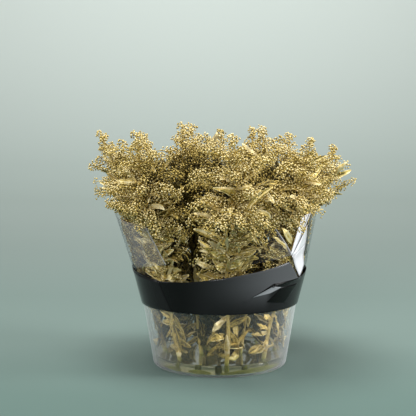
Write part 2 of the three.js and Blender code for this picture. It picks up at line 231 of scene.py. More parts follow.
def colourMix(tree, share, first, second):
    node = addNode(tree, "ShaderNodeMix", data_type="RGBA")
    feedAll(tree, node, {"Factor": share, "A": first, "B": second})
    return node.outputs["Result"]


def shaderMix(tree, share, first, second):
    return addNode(tree, "ShaderNodeMixShader", {0: share, 1: first, 2: second}).outputs[0]


def bumped(tree, height, strength, distance):
    values = {"Height": height, "Strength": strength, "Distance": distance}
    return addNode(tree, "ShaderNodeBump", values).outputs[0]


def placeOf(tree):  # the point on the piece, in metres
    return addNode(tree, "ShaderNodeTexCoord").outputs["Object"]


def toneOf(tree):  # the number that each mesh holds at its points
    return addNode(tree, "ShaderNodeAttribute", attribute_name="tone").outputs["Fac"]


def newMaterial(name):
    material = bpy.data.materials.new(name)
    material.use_nodes = True
    tree = material.node_tree
    return material, tree, tree.nodes["Principled BSDF"], tree.nodes["Material Output"]


def paintGroup():
    # Spray paint: patches and flecks of thick and thin paint, and a fine grain. The tone, which
    # carries painted shade and painted highlights, with half the patches and half the flecks, sets
    # the paint's thickness, and that picks the colour.
    group, source, sink = newGroup(
        "sprayedPaint",
        [("Tone", "NodeSocketFloat", 0.5), ("Patch Scale", "NodeSocketFloat", 70.0),
         ("Grain Scale", "NodeSocketFloat", 1600.0),
         ("Thin", "NodeSocketColor", (0.1, 0.07, 0.02, 1)),
         ("Paint", "NodeSocketColor", (0.5, 0.4, 0.15, 1)),
         ("Thick", "NodeSocketColor", (0.8, 0.7, 0.4, 1))],
        [("Color", "NodeSocketColor"), ("Roughness", "NodeSocketFloat"),
         ("Height", "NodeSocketFloat")])
    given, place = source.outputs, placeOf(group)
    fleckScale, middle = 420.0, 0.45
    patches = noise(group, place, given["Patch Scale"], 3.0)
    flecks = noise(group, place, fleckScale, 1.0)
    grain = noise(group, place, given["Grain Scale"], 2.0)
    # the tone brings painted shade and painted highlights into the thickness
    thickness = maths(group, "MULTIPLY_ADD", patches, 0.5, given["Tone"])
    thickness = maths(group, "MULTIPLY_ADD", flecks, 0.5, thickness)
    share = mapped(group, thickness, 0.5, 1.5)
    lower, upper = mapped(group, share, 0.0, middle), mapped(group, share, middle, 1.0)
    colour = colourMix(group, lower, given["Thin"], given["Paint"])
    colour = colourMix(group, upper, colour, given["Thick"])
    rough = mapped(group, patches, toLow=0.42, toHigh=0.64)
    feedAll(group, sink, {"Color": colour, "Roughness": rough, "Height": grain})
    return group


def crinkleGroup():
    # thin film: long soft creases, and a haze that comes and goes
    group, source, sink = newGroup(
        "crinkledFilm",
        [("Crease Scale", "NodeSocketFloat", 18.0), ("Haze Scale", "NodeSocketFloat", 9.0),
         ("Haze Low", "NodeSocketFloat", 0.45), ("Haze High", "NodeSocketFloat", 0.8)],
        [("Height", "NodeSocketFloat"), ("Haze", "NodeSocketFloat")])
    given, upright = source.outputs, (1.0, 1.0, 0.35)
    stretch = addNode(group, "ShaderNodeMapping", {"Vector": placeOf(group), "Scale": upright})
    creases = noise(group, stretch.outputs[0], given["Crease Scale"], 2.0, 0.6)
    haze = noise(group, stretch.outputs[0], given["Haze Scale"], 3.0)
    haze = mapped(group, haze, given["Haze Low"], given["Haze High"])
    feedAll(group, sink, {"Height": creases, "Haze": haze})
    return group


paintEffect = paintGroup()
filmEffect = crinkleGroup()


def paintedPlant(name, thin, paint, thick, wet, metallic):
    # paint over a plant: green and brown below the water, where no paint reached
    material, tree, shader, _ = newMaterial(name)
    values = {"Tone": toneOf(tree), "Thin": thin, "Paint": paint, "Thick": thick}
    effect = addNode(tree, "ShaderNodeGroup", values, node_tree=paintEffect).outputs
    split = addNode(tree, "ShaderNodeSeparateXYZ", {0: placeOf(tree)})
    above = mapped(tree, split.outputs["Z"], 0.014, 0.034)  # from bare to fully painted
    feedAll(tree, shader, {"Base Color": colourMix(tree, above, wet, effect["Color"]),
                           "Metallic": maths(tree, "MULTIPLY", above, metallic),
                           "Roughness": effect["Roughness"],
                           "Normal": bumped(tree, effect["Height"], 0.25, 0.0002)})
    return material


def clearSolid(name, tint, ior, shadow):
    # glass that lets lamplight straight through, so what stands in it isn't left dark
    material, tree, shader, output = newMaterial(name)
    feedAll(tree, shader, {"Base Color": (*tint, 1), "IOR": ior, "Roughness": 0.0,
                           "Transmission Weight": 1.0})
    lamp = addNode(tree, "ShaderNodeLightPath").outputs["Is Shadow Ray"]
    through = addNode(tree, "ShaderNodeBsdfTransparent", {"Color": (shadow, shadow, shadow, 1)})
    surface = shaderMix(tree, lamp, shader.outputs[0], through.outputs[0])
    feed(tree, output.inputs["Surface"], surface)
    return material


def clearFilm(name):
    # A film too thin to bend light: clear, with gloss that grows at a slant and a little haze.
    # The attribute tone covers it with painted light where it is folded: white well above 0, dark
    # below 0.
    material, tree, shader, output = newMaterial(name)
    effect = addNode(tree, "ShaderNodeGroup", node_tree=filmEffect).outputs
    tone = toneOf(tree)
    slant = addNode(tree, "ShaderNodeLayerWeight", {"Blend": 0.16}).outputs["Fresnel"]
    gloss = maths(tree, "MULTIPLY_ADD", slant, 0.17, 0.005)
    veil = maths(tree, "MULTIPLY_ADD", effect["Haze"], 0.02, gloss)
    hazeAndPaintedLight = maths(tree, "MAXIMUM", veil, maths(tree, "ABSOLUTE", tone))
    white = maths(tree, "MULTIPLY", tone, 8.0, clamped=True)
    colour = colourMix(tree, white, (0.02, 0.02, 0.024, 1), (0.95, 0.93, 0.98, 1))
    feedAll(tree, shader, {"Base Color": colour, "Roughness": 0.1, "IOR": 1.45,
                           "Normal": bumped(tree, effect["Height"], 0.6, 0.002)})
    through = addNode(tree, "ShaderNodeBsdfTransparent", {"Color": (0.985, 0.99, 0.99, 1)})
    surface = shaderMix(tree, hazeAndPaintedLight, through.outputs[0], shader.outputs[0])
    feed(tree, output.inputs["Surface"], surface)
    return material


def blackGloss(name):
    # black film; the attribute tone greys a folded or doubled place and the upper right: painted
    # reflection
    material, tree, shader, _ = newMaterial(name)
    values = {"Crease Scale": 26.0, "Haze Low": 0.4, "Haze High": 0.75}
    effect = addNode(tree, "ShaderNodeGroup", values, node_tree=filmEffect).outputs
    black, grey = (0.0025, 0.0025, 0.0025, 1), (0.30, 0.31, 0.33, 1)
    feedAll(tree, shader, {"Base Color": colourMix(tree, toneOf(tree), black, grey),
                           "Roughness": mapped(tree, effect["Haze"], toLow=0.12, toHigh=0.24),
                           "Specular IOR Level": 0.14,
                           "Normal": bumped(tree, effect["Height"], 0.16, 0.002)})
    return material


def sheenedPlastic(name, tint, ior, shadow):
    # clear moulded plastic, faintly milky, with a white painted sheen where it is seen at a slant:
    # share = slant ^ 1.8 * 0.8 + 0.005
    material = clearSolid(name, tint, ior, shadow)
    tree = material.node_tree
    surface = tree.nodes["Material Output"].inputs["Surface"]
    clear = surface.links[0].from_socket
    sheenLayer = addNode(tree, "ShaderNodeBsdfPrincipled", {"Base Color": (0.86, 0.87, 0.88, 1),
                                                      "Roughness": 0.3})
    slant = addNode(tree, "ShaderNodeLayerWeight", {"Blend": 0.3}).outputs["Facing"]
    share = maths(tree, "MULTIPLY_ADD", maths(tree, "POWER", slant, 1.8), 0.8, 0.005)
    feed(tree, surface, shaderMix(tree, share, clear, sheenLayer.outputs[0]))
    return material


# the thin colour also serves as painted shade and the thick one as painted highlight, as the tone
# picks between them
goldPaint = paintedPlant("goldPaint", (0.060, 0.047, 0.013, 1), (0.57, 0.42, 0.10, 1),
                         (0.82, 0.72, 0.43, 1), (0.17, 0.21, 0.03, 1), 0.6)
greenLeaf = paintedPlant("greenLeaf", (0.06, 0.07, 0.012, 1), (0.14, 0.17, 0.035, 1),
                         (0.26, 0.29, 0.09, 1), (0.16, 0.20, 0.04, 1), 0.0)
tubPlastic = sheenedPlastic("tubPlastic", (0.94, 0.93, 0.93), 1.46, 0.8)
# the olive tint is partly the water's own colour and partly painted shade on all seen through it
waterClear = clearSolid("waterClear", (0.50, 0.44, 0.25), 1.33, 0.8)
filmPlastic = clearFilm("filmPlastic")
bandPlastic = blackGloss("bandPlastic")
print("materials made")


# Sleeve and band shapes, shared with the sprigs, which stay inside them

tub = {"baseRadius": 107.0, "slope": 0.165, "height": 108.0, "wall": 1.6, "floor": 2.4,
       "corner": 6.0, "lip": 0.6}
sleeve = {"bottom": 103.0, "thickness": 0.25, "bottomRadius": 125.2, "flare": 36.5,
          "flareHeight": 143.0, "topMiddle": 245.0, "topTilt": 18.0,
          "foldEnd": math.radians(88), "foldStart": 148, "creaseHeights": (181, 213, 263),
          "creaseAzimuths": (50, 56, 62)}


def coneRadius(height, azimuth):
    # a cone that flares more to the left and waves a little towards its rim
    rise = (height - sleeve["bottom"]) / sleeve["flareHeight"]
    loose = np.maximum(0.0, (height - sleeve["foldStart"]) / 97)
    waves = 1.3 * np.sin(3 * azimuth + 1) + 0.9 * np.sin(5 * azimuth + 2.2)
    return (sleeve["bottomRadius"] + sleeve["flare"] * rise
            - 5 * loose * np.sin(azimuth) + loose * waves)


def filmRadius(height, azimuth):
    # the cone, pulled flat between the crease and foldEnd: there the radius is that of a chord
    crease = np.radians(np.interp(height, sleeve["creaseHeights"], sleeve["creaseAzimuths"]))
    end = sleeve["foldEnd"]
    plain = coneRadius(height, azimuth)
    r0, r1 = coneRadius(height, crease), coneRadius(height, end)
    a = np.clip(azimuth, crease, end)
    chord = r0 * r1 * np.sin(end - crease) / (r1 * np.sin(end - a) + r0 * np.sin(a - crease))
    folded = (azimuth > crease) & (azimuth < end)
    flat = np.clip((height - sleeve["foldStart"]) / 33, 0, 1)
    return np.where(folded, between(plain, chord, flat), plain)


def filmTopAt(azimuth):
    return sleeve["topMiddle"] - sleeve["topTilt"] * np.cos(azimuth)


def rimAt(azimuth):  # what the flowers lie on: the rim, with the folded corner at the right
    return filmTopAt(azimuth) + 17 * np.exp(-((azimuth - 1.0) / 0.24) ** 2)


# Bunch: where each sprig stands, and the cell it keeps to

bunch = {"spread": 0.0031, "rings": (36, 84), "footRadius": 3.2, "panicle": 192.0,
         "plume": 46.0, "racemes": 11, "longest": 104.0, "shortest": 60.0,
         "racemeRadius": 13.0, "innerShare": 0.8, "outwardBias": 0.5, "outwardShare": 0.45,
         "leaves": 5, "leafLowest": 30.0, "leafLength": 62.0, "leafWidth": 13.0,
         "clearance": 0.3, "waterTop": 20.0, "wallGap": 1.6, "frontHalf": 0.45}
sprigs = [  # ring, azimuth, height, outward lean of the tip
    (1, -90, 374, 4), (1, -45, 374, 2), (1, 6, 372, 0), (1, 50, 366, 2), (1, 92, 352, 4),
    (1, 135, 370, 4), (1, 180, 376, 4), (1, -135, 372, 4), (0, -50, 386, 0), (0, 58, 382, 0),
    (0, 130, 380, 0), (0, -140, 386, 0),
]
sites = np.array([ringPoint(bunch["rings"][ring], math.radians(azimuth), 0.0)[:2]
                  for ring, azimuth, _, _ in sprigs])


def spreadAt(height):
    return 1.0 + bunch["spread"] * height


def cellReach(own, direction):
    # how far from its site, at floor scale, a sprig reaches in a direction: halfway to each other
    gaps = np.delete(sites, own, 0) - sites[own]
    facing = direction @ gaps.T
    reach = np.where(facing > 0, (gaps ** 2).sum(1) / 2 / np.maximum(facing, 1e-9), 60.0)
    return np.minimum(reach.min(1), 60.0)


def wallLimit(height, azimuth, radius):
    # how far out something may reach: to the tub's wall, the film, or freely above the rim
    rim = rimAt(azimuth)
    tubWall = tub["baseRadius"] + tub["slope"] * np.minimum(height, tub["height"]) - tub["wall"]
    wall = np.where(height < tub["height"] + 4, tubWall,
                    filmRadius(np.minimum(height, rim), azimuth))
    return wall - radius - bunch["wallGap"] + 90 * smooth((height - rim - radius - 3) / 26)


def toCell(own, points):
    # each point's scale, and at floor scale its distance and direction from the sprig's site
    scale = spreadAt(points[:, 2])
    offset = points[:, :2] / scale[:, None] - sites[own]
    distance = np.hypot(offset[:, 0], offset[:, 1])
    return scale, distance, offset / np.maximum(distance, 1e-9)[:, None]


def fromCell(own, scale, distance, direction):
    # back from floor scale: the level place, its azimuth and its distance from the axis
    flat = (direction * distance[:, None] + sites[own]) * scale[:, None]
    return flat, np.arctan2(flat[:, 0], -flat[:, 1]), np.hypot(flat[:, 0], flat[:, 1])


def pulledIn(flat, reach, limit, which):  # those of which, moved straight in to the limit
    return flat * np.where(which, limit / np.maximum(reach, 1e-9), 1.0)[:, None]


def bentClear(own, points, radius, rootHeight=0.0, hang=0.0):
    # the skeleton's points, bent back softly into the cell and inside the wall; hang is how
    # steeply they may fall once they are out over the sleeve's rim
    scale, distance, direction = toCell(own, points)
    room = np.maximum(1.0, cellReach(own, direction) - (1.1 * radius + 0.6) / scale)
    share = distance / room
    kept = np.where(share < 0.6, share, 0.6 + 0.4 * np.tanh((share - 0.6) / 0.4))
    flat, azimuth, reach = fromCell(own, scale, kept * room, direction)
    rim = rimAt(azimuth)
    inside = filmRadius(rim, azimuth) - radius - 8
    overRim = rootHeight > rim
    lowest = rim + radius + 6 - 2.5 * np.maximum(0, inside - reach)
    front = 1 - smooth((np.abs(azimuth) - bunch["frontHalf"]) / bunch["frontHalf"])
    beyond = np.maximum(0, reach - filmRadius(rim, azimuth) - radius - 3)
    lowest = lowest + (0.7 * (1 - front) - hang * front) * beyond
    height = np.where(overRim, np.maximum(points[:, 2], lowest), points[:, 2])
    limit = wallLimit(height, azimuth, radius)
    flat = pulledIn(flat, reach, limit, (~overRim | (reach < inside)) & (reach > limit))
    return np.column_stack([flat, height])


def keptInside(own, points, radius, rootHeight):
    # the last word for a floret or a leaf: never out of its cell, never through the film
    shape = points.shape
    points = points.reshape(-1, 3)
    scale, distance, direction = toCell(own, points)
    room = cellReach(own, direction) - (radius + 0.2) / scale
    flat, azimuth, reach = fromCell(own, scale, np.minimum(distance, room), direction)
    rim = rimAt(azimuth)
    filmThere = filmRadius(rim, azimuth)
    outside = (rootHeight > rim) & (reach > filmThere - radius - 2)
    side = smooth((np.abs(azimuth) - bunch["frontHalf"]) / bunch["frontHalf"])
    lowest = rim + radius + 2 - between(2.6, -0.6, side) * np.maximum(
        0, reach - filmThere - radius - 2)
    height = np.where(outside, np.maximum(points[:, 2], lowest), points[:, 2])
    limit = wallLimit(height, azimuth, radius)
    flat = pulledIn(flat, reach, limit, ~outside & (height < rim + 3) & (reach > limit))
    height = np.maximum(height, tub["floor"] + bunch["clearance"])
    return np.column_stack([flat, height]).reshape(shape)


class Stem:
    # nearly straight, with a slow waver and a tip that leans out
    def __init__(self, own):
        self.ring, azimuth, self.height, self.lean = sprigs[own]
        self.own, self.azimuth = own, math.radians(azimuth)
        draw = repeatableDraws(own + 1)
        self.waver = 1.5 + 2 * draw()
        self.phase = 2 * math.pi * draw()
        self.foot = tub["floor"] + bunch["clearance"]

    def at(self, height):  # the stem's point at each height
        height = np.atleast_1d(np.asarray(height, float))
        turn = self.phase + height / 42
        offset = np.stack([np.cos(turn), np.sin(turn * 0.83)], -1)
        offset = offset * (self.waver * smooth(height / 90))[:, None]
        flat = (sites[self.own] + offset) * spreadAt(height)[:, None]
        lean = self.lean * smooth((height - 0.62 * self.height) / (0.38 * self.height))
        place = np.column_stack([flat, height]) + ringPoint(lean, self.azimuth, 0.0)
        return bentClear(self.own, place, bunch["footRadius"])


def arcPath(own, start, azimuth, length, rise, endRise, radius, rootHeight, count, hang=0.0):
    # An arc that leaves its start at one rise and ends at another, bent clear and then evened
    # out to count points: out and up are the integrals of cos and sin of a rise that turns evenly.
    t = np.linspace(0, 1, 121)
    turn = endRise - rise
    now = rise + turn * t
    out = length * (np.sin(now) - math.sin(rise)) / turn
    up = length * (math.cos(rise) - np.cos(now)) / turn
    place = start + ringPoint(out, azimuth, up)
    low = bunch["waterTop"] + 4
    height = place[:, 2]
    place[:, 2] = np.where(height < low, low - 3 * np.tanh((low - height) / 30), height)
    place = bentClear(own, place, radius * smooth(t * 4), rootHeight, hang)
    gone = np.concatenate([[0], np.cumsum(np.linalg.norm(np.diff(place, axis=0), axis=1))])
    even = np.linspace(0, gone[-1], count)
    return readOff(even, gone, place), gone[-1]


def shootPath(stem, root, azimuth, length, rise, endRise, radius, count, hang=0.0):
    start = stem.at(root)[0]
    return arcPath(stem.own, start, azimuth, length, rise, endRise, radius, start[2], count, hang)


def spiral(stem, n, start, jitter):
    # the azimuth of the n-th side shoot: a golden-angle spiral, turned outwards
    turn = n * goldenAngle + start + jitter
    return stem.azimuth + turn - bunch["outwardBias"] * math.sin(turn)


def racemesOf(stem):  # the main side shoots, the same as in the solids
    draw = repeatableDraws(100 + stem.own)
    start = 2 * math.pi * draw()
    room = 1.0 if stem.ring == 1 else bunch["innerShare"]
    lowest, highest = stem.height - bunch["panicle"], stem.height - bunch["plume"] + 4
    for n in range(bunch["racemes"]):
        share = n / (bunch["racemes"] - 1)
        azimuth = spiral(stem, n, start, 0.5 * (draw() - 0.5))
        facingOut = max(0.0, math.cos(azimuth - stem.azimuth))
        full = room * between(bunch["longest"], bunch["shortest"], share ** 1.3)
        full = full * between(1, bunch["outwardShare"], share * facingOut)
        length = full * between(0.85, 1.12, draw())
        rise = math.radians(between(36, 52, draw()))
        endRise = math.radians(between(-42, 0, share))
        radius = bunch["racemeRadius"] * between(1, 0.75, share)
        yield between(lowest, highest, share ** 0.9), azimuth, length, rise, endRise, radius


def leavesOf(stem):  # the main leaves, the same as in the solids
    draw = repeatableDraws(200 + stem.own)
    start = 2 * math.pi * draw()
    highest = stem.height - bunch["panicle"] + 84
    for n in range(bunch["leaves"]):
        share = n / (bunch["leaves"] - 1)
        root = between(bunch["leafLowest"], highest, share) + 10 * (draw() - 0.5)
        azimuth = spiral(stem, n, start, 0.0)
        length = bunch["leafLength"] * between(0.75, 1.2, draw())
        width = bunch["leafWidth"] * between(0.8, 1.15, draw())
        rise = math.radians(between(30, 66, draw()))
        endRise = math.radians(between(-75, 50, draw()))
        yield root, azimuth, length, rise, endRise, width


# Florets, twigs and leaves of a sprig

floret = {"length": 3.5, "radius": 1.9, "widest": 0.66, "corners": 4}
twig = {"florets": 6, "spread": 5.7, "dome": 6.4, "radius": 0.4, "area": 114.0, "halfTurn": 2.45}
raceme = {"stalk": (1.3, 0.45), "taper": 0.62, "leafLength": (34, 54), "leafWidth": (6.5, 10.5)}


def depthInside(points):
    # how deep in the bunch a point lies, in mm from its top or its side
    reach = np.hypot(points[..., 0], points[..., 1])
    height = points[..., 2]
    azimuth = np.arctan2(points[..., 0], -points[..., 1])
    side = coneRadius(np.minimum(height, 245), azimuth) + 0.5 * np.clip(height - 235, 0, 70)
    top = 388 - 45 * (reach / 200) ** 2
    return np.maximum(0.0, np.minimum(top - height, side - reach))


def outwards(point):  # the level direction away from the bunch's middle
    return unit(point * [1.0, 1.0, 0.0])


def addFlorets(surfaces, own, roots, directions, rng, rootHeight, shade):
    # Each floret is a bud: a point at its root, a ring where it is widest, and a point at its
    # tip. Its tone is painted shade at the root and deep in the bunch, and painted highlight at the
    # tip.
    # One that would have to be lifted off the sleeve by more than 3 mm is left off.
    size = rng.uniform(0.75, 1.12, len(roots))
    along = unit(directions)
    ends = roots + along * (floret["length"] * size)[:, None]
    tips = keptInside(own, ends, floret["radius"], rootHeight)
    free = np.abs(tips[:, 2] - ends[:, 2]) < 3
    size, along, tips, roots = size[free], along[free], tips[free], roots[free]
    count, m = len(roots), floret["corners"]
    if count == 0:
        return
    shade = np.broadcast_to(shade, free.shape)[free]
    roots = keptInside(own, roots, 0.4, rootHeight)
    middle = between(roots, tips, floret["widest"])
    across = unit(np.cross(along, rng.normal(size=(count, 3))))
    other = np.cross(along, across)
    ring = (across[:, None] * circle(m)[None, :, :1] + other[:, None] * circle(m)[None, :, 1:])
    ring = middle[:, None] + ring * (floret["radius"] * size)[:, None, None]
    points = np.concatenate([roots[:, None], ring, tips[:, None]], 1)
    index = surfaces.count + np.arange(count)[:, None] * (m + 2)
    here, after = 1 + np.arange(m), 1 + (np.arange(m) + 1) % m
    low = np.stack([index + 0 * here, index + after, index + here], -1)
    high = np.stack([index + m + 1 + 0 * here, index + here, index + after], -1)
    # a random tone, lowered deep in the bunch as painted shade
    paint = rng.normal(0.65, 0.08, count) + shade - 0.45 * smooth((depthInside(tips) - 12) / 60)
    # painted shade at the root, painted highlight at the tip
    beadShadeAndHighlight = np.array([-0.8] + [-0.05] * m + [0.4])
    surfaces.put(points, np.clip(paint[:, None] + beadShadeAndHighlight, 0.0, 1.0), low.reshape(-1, 3),
                 high.reshape(-1, 3))


def addClusters(surfaces, own, path, reachAt, length, rng, rootHeight, first):
    # Short twigs stand round a path, none right below it, each with a small dome of florets at
    # its end. Their places are spread evenly over the surface that their ends make: by area
    # along it, by the golden ratio round it. path (n, 3), reachAt(t) in mm.
    t = np.linspace(first, 0.99, 60)
    area = np.cumsum(reachAt(t)) * (t[1] - t[0]) * length * 2 * twig["halfTurn"]
    count = max(3, int(area[-1] / twig["area"]))
    t = np.interp((np.arange(count) + rng.uniform(0, 1, count)) / count * area[-1], area, t)
    turn = twig["halfTurn"] * (2 * ((np.arange(count) * goldenLong + rng.uniform()) % 1) - 1)
    base = readOff(t * (len(path) - 1), np.arange(len(path)), path)
    # fewer of them deep in the bunch, and low in the sleeve, where leaves take their place
    gone = np.maximum(0.75 * smooth((depthInside(base) - 35) / 45),
                      0.6 * smooth((248 - base[:, 2]) / 36))
    seen = rng.uniform(0, 1, count) > gone
    seen[0] = True
    t, turn, base, count = t[seen], turn[seen], base[seen], int(seen.sum())
    slope = unit(np.gradient(path, axis=0))
    ahead = unit(readOff(t * (len(path) - 1), np.arange(len(path)), slope))
    level = unit(np.cross(ahead, [0.0, 0.0, 1.0]) + 1e-6)
    upward = np.cross(level, ahead)
    outward = level * np.sin(turn)[:, None] + upward * np.cos(turn)[:, None]
    outward = unit(outward + ahead * (0.3 + 0.9 * t ** 4)[:, None])
    ends = base + outward * (reachAt(t) * rng.uniform(0.78, 1.12, count))[:, None]
    twigs = keptInside(own, np.stack([base, ends], 1), 0.8, rootHeight)
    radius = twig["radius"] * np.ones((count, 2))
    surfaces.add(tubes(twigs, ahead[:, None], roundOutline(radius, 3)), 0.3)
    n = twig["florets"]
    k = np.arange(n)
    away = twig["spread"] * np.sqrt((k + 0.3) / n) * rng.uniform(0.85, 1.15, (count, n))
    fan = away / twig["dome"]
    spin = (k * goldenAngle)[None, :] + rng.uniform(0, 6.28, (count, 1))
    across = unit(np.cross(outward, rng.normal(size=(count, 3))))
    other = np.cross(outward, across)
    aside = across[:, None] * np.cos(spin)[..., None] + other[:, None] * np.sin(spin)[..., None]
    centre = ends - outward * twig["dome"]
    directions = outward[:, None] * np.cos(fan)[..., None] + aside * np.sin(fan)[..., None]
    roots = centre[:, None] + directions * (twig["dome"] + rng.uniform(-0.9, 0.9, (count, n, 1)))
    directions = directions + rng.normal(0, 0.15, directions.shape)
    shade = np.repeat(rng.normal(0, 0.06, count), n) + rng.normal(0, 0.09)
    addFlorets(surfaces, own, roots.reshape(-1, 3), directions.reshape(-1, 3), rng, rootHeight,
               shade)


def addRaceme(surfaces, own, path, length, radius, rng, rootHeight=None, first=0.1, leaves=0,
              taper=raceme["taper"]):
    # A stalk with florets round it: their reach swells from the root and thins to the tip.
    # Some have leaves on the stalk that stand out between the florets, unless one would end
    # far out over the sleeve's rim. rootHeight is where the shoot leaves the stem.
    rootHeight = path[0, 2] if rootHeight is None else rootHeight
    t = np.linspace(0, 1, len(path))
    branch = roundOutline(between(*raceme["stalk"], t)[None], 4)
    # painted shade: the stalk is darker the deeper it lies in the bunch
    tone = 0.42 - 0.4 * smooth((depthInside(path[len(path) // 2]) - 15) / 50)
    surfaces.add(tubes(path[None], np.array([[[0.3, 0.2, 1.0]]]), branch), tone)

    def reachAt(t):
        return 0.9 * radius * (1.0 - taper * t) * smooth((t - first) / 0.3 + 0.35)

    addClusters(surfaces, own, path, reachAt, length, rng, rootHeight, first)
    out = path[-1] - path[0]
    azimuth = math.atan2(out[0], -out[1])
    for n in range(leaves):
        start = path[int(len(path) * rng.uniform(0.1, 0.45))]
        aside = rng.uniform(0.3, 1.0) * (1 if n % 2 else -1)
        width = rng.uniform(*raceme["leafWidth"])
        blade, _ = arcPath(own, start, azimuth + aside, rng.uniform(*raceme["leafLength"]),
                           rng.uniform(0.2, 1.1), rng.uniform(-0.9, 0.9), width / 2, rootHeight, 11)
        if math.hypot(blade[-1, 0], blade[-1, 1]) > 172 + 0.6 * max(0.0, blade[-1, 2] - 240):
            continue
        addLeaf(surfaces, own, blade, width, rng, rootHeight, rng.uniform(0.35, 0.95),
                facing=outwards(blade[5]) + [0.0, 0.0, 0.7] + rng.normal(0, 0.3, 3), corners=10)


def addLeaf(surfaces, own, path, width, rng, rootHeight, tone, curl=0.35, corners=8, facing=None):
    # A dry blade: a thin lens of an outline, narrow at both ends, its edges curled up and waved,
    # with a groove along the midrib: rise = curl * x^2 + wave * x^3 * sin(along) - groove near 0.
    # facing is the way its upper side looks.
    n = len(path)
    t = np.linspace(0, 1, n)[:, None]
    half = width / 2 * np.sin(math.pi * np.clip(t * 0.9 + 0.06, 0, 1)) ** 0.8
    half = half * np.where(t < 0.08, 0.45, 1.0)
    x, skin = circle(corners).T[:, None]
    phase, waves = rng.uniform(0, 6.28, 2), rng.uniform(2.5, 4.5)
    rise = curl * x ** 2 * half + 0.16 * width * x ** 2 * np.sign(x) * np.sin(
        waves * 2 * math.pi * t + phase[0]) * np.sin(math.pi * t)
    rise = rise + 0.10 * width * np.sin(3 * math.pi * t + phase[1]) * np.sin(math.pi * t)
    rise = rise - 0.5 * np.exp(-(x / 0.16) ** 2) * np.sin(math.pi * t) + skin * 0.28
    outline = np.stack([x * half, rise], -1)[None]
    facing = np.array([0.0, 0.0, 1.0]) if facing is None else facing
    side = unit(np.cross(np.gradient(path, axis=0), facing) + 1e-6)
    wanted = tubes(path[None], -side[None], outline)
    grid = keptInside(own, wanted, 0.3, rootHeight)
    if np.abs(grid - wanted)[..., 2].max() > 6:  # it would lie squashed on the sleeve's rim
        return
    # painted shade: the blade is darker the deeper it lies in the bunch
    paint = max(0.0, tone - 0.4 * smooth((depthInside(path[n // 2]) - 20) / 60))
    # streaks of painted light and shade along the blade, and a painted highlight on its edges
    lightAndShadeStreaks = rng.normal(0, 0.3, (1, corners)) + 0.2 * (np.abs(x) > 0.9)
    lightAndShadeStreaks = lightAndShadeStreaks + rng.normal(0, 0.13, (n, corners))
    surfaces.add(grid, np.clip(paint + lightAndShadeStreaks * min(1.0, 2.5 * paint), 0, 1))


def addStem(surfaces, stem):
    # A ribbed tube: its radius thins towards the tip and waves round it in five ribs.
    heights = np.linspace(stem.foot, stem.height - 1.0, 50)
    path = stem.at(heights)
    t = (heights - stem.foot) / (stem.height - stem.foot)
    radius = between(bunch["footRadius"] + 0.4, 0.8, t ** 0.85)
    turn = np.arange(10) / 10 * 2 * math.pi
    ribs = 1 + 0.07 * np.cos(5 * turn)[None] + 0.02 * np.sin(heights / 3.1)[:, None]
    outline = circle(10) * (radius[:, None] * ribs)[None, ..., None]
    surfaces.add(tubes(path[None], np.array([[[1.0, 0, 0]]]), outline), 0.55)


sideShoot = {"root": (0.35, 0.8), "aside": (0.5, 1.2), "length": (22, 40), "radius": 8.0}


def addSideShoot(surfaces, stem, path, azimuth, rise, rng):
    # a short raceme that branches off a main one
    start = path[int(len(path) * rng.uniform(*sideShoot["root"]))]
    away = azimuth - rng.uniform(*sideShoot["aside"])
    length = rng.uniform(*sideShoot["length"])
    side, gone = arcPath(stem.own, start, away, length, rise * rng.uniform(0.3, 1.1), -0.2,
                         4.0, path[0, 2], 10)
    addRaceme(surfaces, stem.own, side, gone, sideShoot["radius"], rng, path[0, 2])


filling = {"count": (30, 21), "below": (172, 40), "length": (34, 66), "rise": (0.3, 0.85),
           "endRise": (-0.6, 0.1), "radius": 9.5}


def addFilling(surfaces, stem, rng):
    # racemes between the main ones, all round the stem, shorter towards its tip
    count = filling["count"][stem.ring]
    lowest, highest = stem.height - filling["below"][0], stem.height - filling["below"][1]
    for n in range(count):
        share = (n + 0.5) / count
        root = between(lowest, highest, share ** 0.8)
        azimuth = stem.azimuth + n * goldenAngle + 1.1 + rng.uniform(-0.4, 0.4)
        facingOut = max(0.0, math.cos(azimuth - stem.azimuth))
        length = rng.uniform(*filling["length"]) * between(1, 0.6, share * facingOut)
        length = length * between(1, 0.6, share)
        path, gone = shootPath(stem, root, azimuth, length, rng.uniform(*filling["rise"]),
                               rng.uniform(*filling["endRise"]), 6.0, 14)
        addRaceme(surfaces, stem.own, path, gone, filling["radius"], rng)


# Racemes in a row up the stem. count is for an inner and an outer sprig, turn and aside say
# where round the stem they stand, and step and shift how they fill the range aside.
lowRacemes = {  # seen through the sleeve
    "count": (4, 12), "roots": (136, 212), "turn": 0.0, "sides": (-1, 1), "aside": (0.5, 2.1),
    "step": goldenShort, "shift": 0.0, "length": (42, 72), "rise": (0.3, 1.1),
    "endRise": (-0.5, 0.8), "points": 14, "radius": 10.0, "leaves": (1, 1), "taper": 0.62}
betweenRacemes = {  # long, reaching sideways to the neighbours
    "count": (0, 18), "roots": (180, 316), "turn": 0.0, "sides": (-1, 1), "aside": (1.35, 2.35),
    "step": goldenShort, "shift": 0.2, "length": (60, 88), "rise": (0.1, 0.7),
    "endRise": (-0.7, 0.1), "points": 16, "radius": 12.0, "leaves": (1, 1), "taper": 0.3}
innerRacemes = {  # over the bunch's middle, which they close from above
    "count": (11, 0), "roots": (256, 338), "turn": math.pi, "sides": (1, 1), "aside": (-1.5, 1.5),
    "step": goldenLong, "shift": 0.3, "length": (46, 68), "rise": (0.0, 0.5),
    "endRise": (-0.5, 0.1), "points": 14, "radius": 10.0, "leaves": (0, 1), "taper": 0.4}


